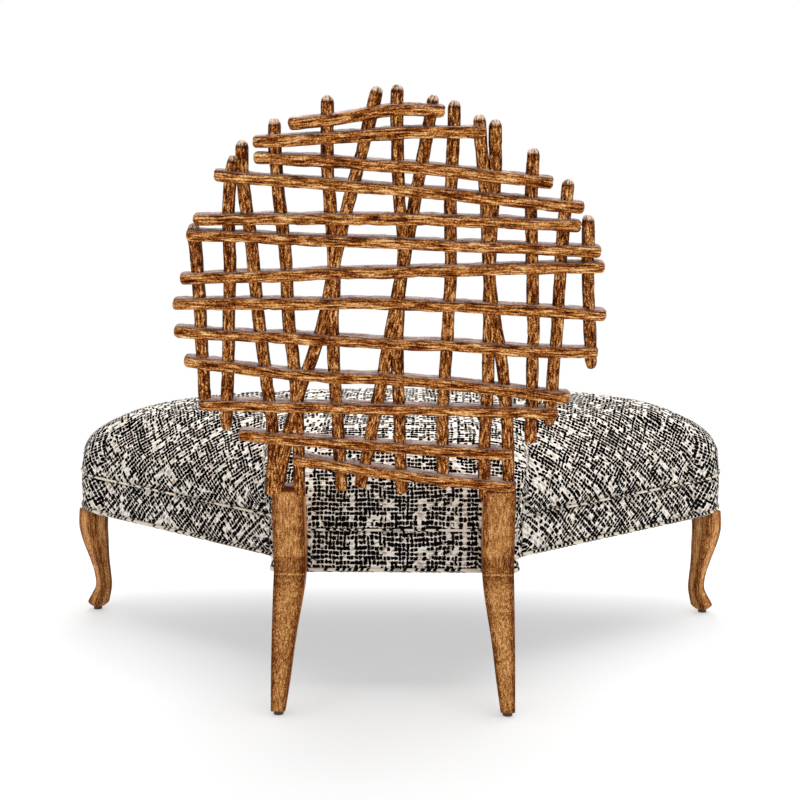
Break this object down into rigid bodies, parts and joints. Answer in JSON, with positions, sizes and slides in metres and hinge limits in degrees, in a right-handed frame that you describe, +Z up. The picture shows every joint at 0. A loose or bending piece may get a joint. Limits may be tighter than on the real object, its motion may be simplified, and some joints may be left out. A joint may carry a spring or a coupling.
{
  "type": "twig chair",
  "caption": "Wide fan-shaped upholstered seat with a crowned top on two sabre and two cabriole legs, with a round raked back of crossing carved twigs.",
  "frame": {"origin": "middle of the chair's footprint box, on the floor", "axes": "+Z up; the sitter faces -Y, so the twig back stands at +Y; +X is the sitter's left"},
  "size_m": [1.4994, 0.887, 1.1858],
  "materials": {
    "twig_wood": "carved and rubbed gilt brown over dark grooves, satin",
    "leg_wood": "rubbed gilt brown, satin",
    "frame_wood": "sawn, unfinished",
    "dowel_wood": "plain, glued in",
    "woven_fabric": "coarse basket weave of cream, black and taupe threads",
    "welt_fabric": "the same weave, wrapped round a cord",
    "foam": "bonded upholstery foam, matt",
    "felt": "pressed felt, matt",
    "dust_cloth": "thin non-woven cloth, matt",
    "spring_steel": "drawn wire and bent strip, dull",
    "fastener_steel": "zinc plated",
    "glide_plastic": "dark brown, matt"
  },
  "bodies": {
    "root": {"back_panel_trims": "welt_fabric", "back_rail": "frame_wood", "block_screws": "fastener_steel", "cross_twig_01": "twig_wood", "cross_twig_02": "twig_wood", "cross_twig_03": "twig_wood", "cross_twig_04": "twig_wood", "cross_twig_05": "twig_wood", "cross_twig_06": "twig_wood", "cross_twig_07": "twig_wood", "cross_twig_08": "twig_wood", "cross_twig_09": "twig_wood", "cross_twig_10": "twig_wood", "cross_twig_11": "twig_wood", "cross_twig_12": "twig_wood", "cross_twig_13": "twig_wood", "deck_pad": "felt", "dust_cover": "dust_cloth", "dust_cover_tacks": "fastener_steel", "floor_glides": "glide_plastic", "frame_dowels": "dowel_wood", "front_corner_block_left": "frame_wood", "front_corner_block_right": "frame_wood", "front_leg_bolts": "fastener_steel", "front_leg_left": "leg_wood", "front_leg_right": "leg_wood", "front_rail": "frame_wood", "hem_welt": "welt_fabric", "rear_corner_blocks": "frame_wood", "rear_leg_bolts": "fastener_steel", "rear_leg_left": "leg_wood", "rear_leg_right": "leg_wood", "seam_welt": "welt_fabric", "seat_cover": "woven_fabric", "seat_foam": "foam", "seat_springs": "spring_steel", "seat_stretchers": "frame_wood", "side_band": "woven_fabric", "side_rail_left": "frame_wood", "side_rail_right": "frame_wood", "spring_clips": "spring_steel", "upright_twig_01": "twig_wood", "upright_twig_02": "twig_wood", "upright_twig_03": "twig_wood", "upright_twig_04": "twig_wood", "upright_twig_05": "twig_wood", "upright_twig_06": "twig_wood", "upright_twig_07": "twig_wood", "upright_twig_08": "twig_wood", "upright_twig_09": "twig_wood", "upright_twig_10": "twig_wood", "upright_twig_11": "twig_wood", "upright_twig_12": "twig_wood", "upright_twig_13": "twig_wood", "upright_twig_14": "twig_wood"}
  },
  "joints": []
}
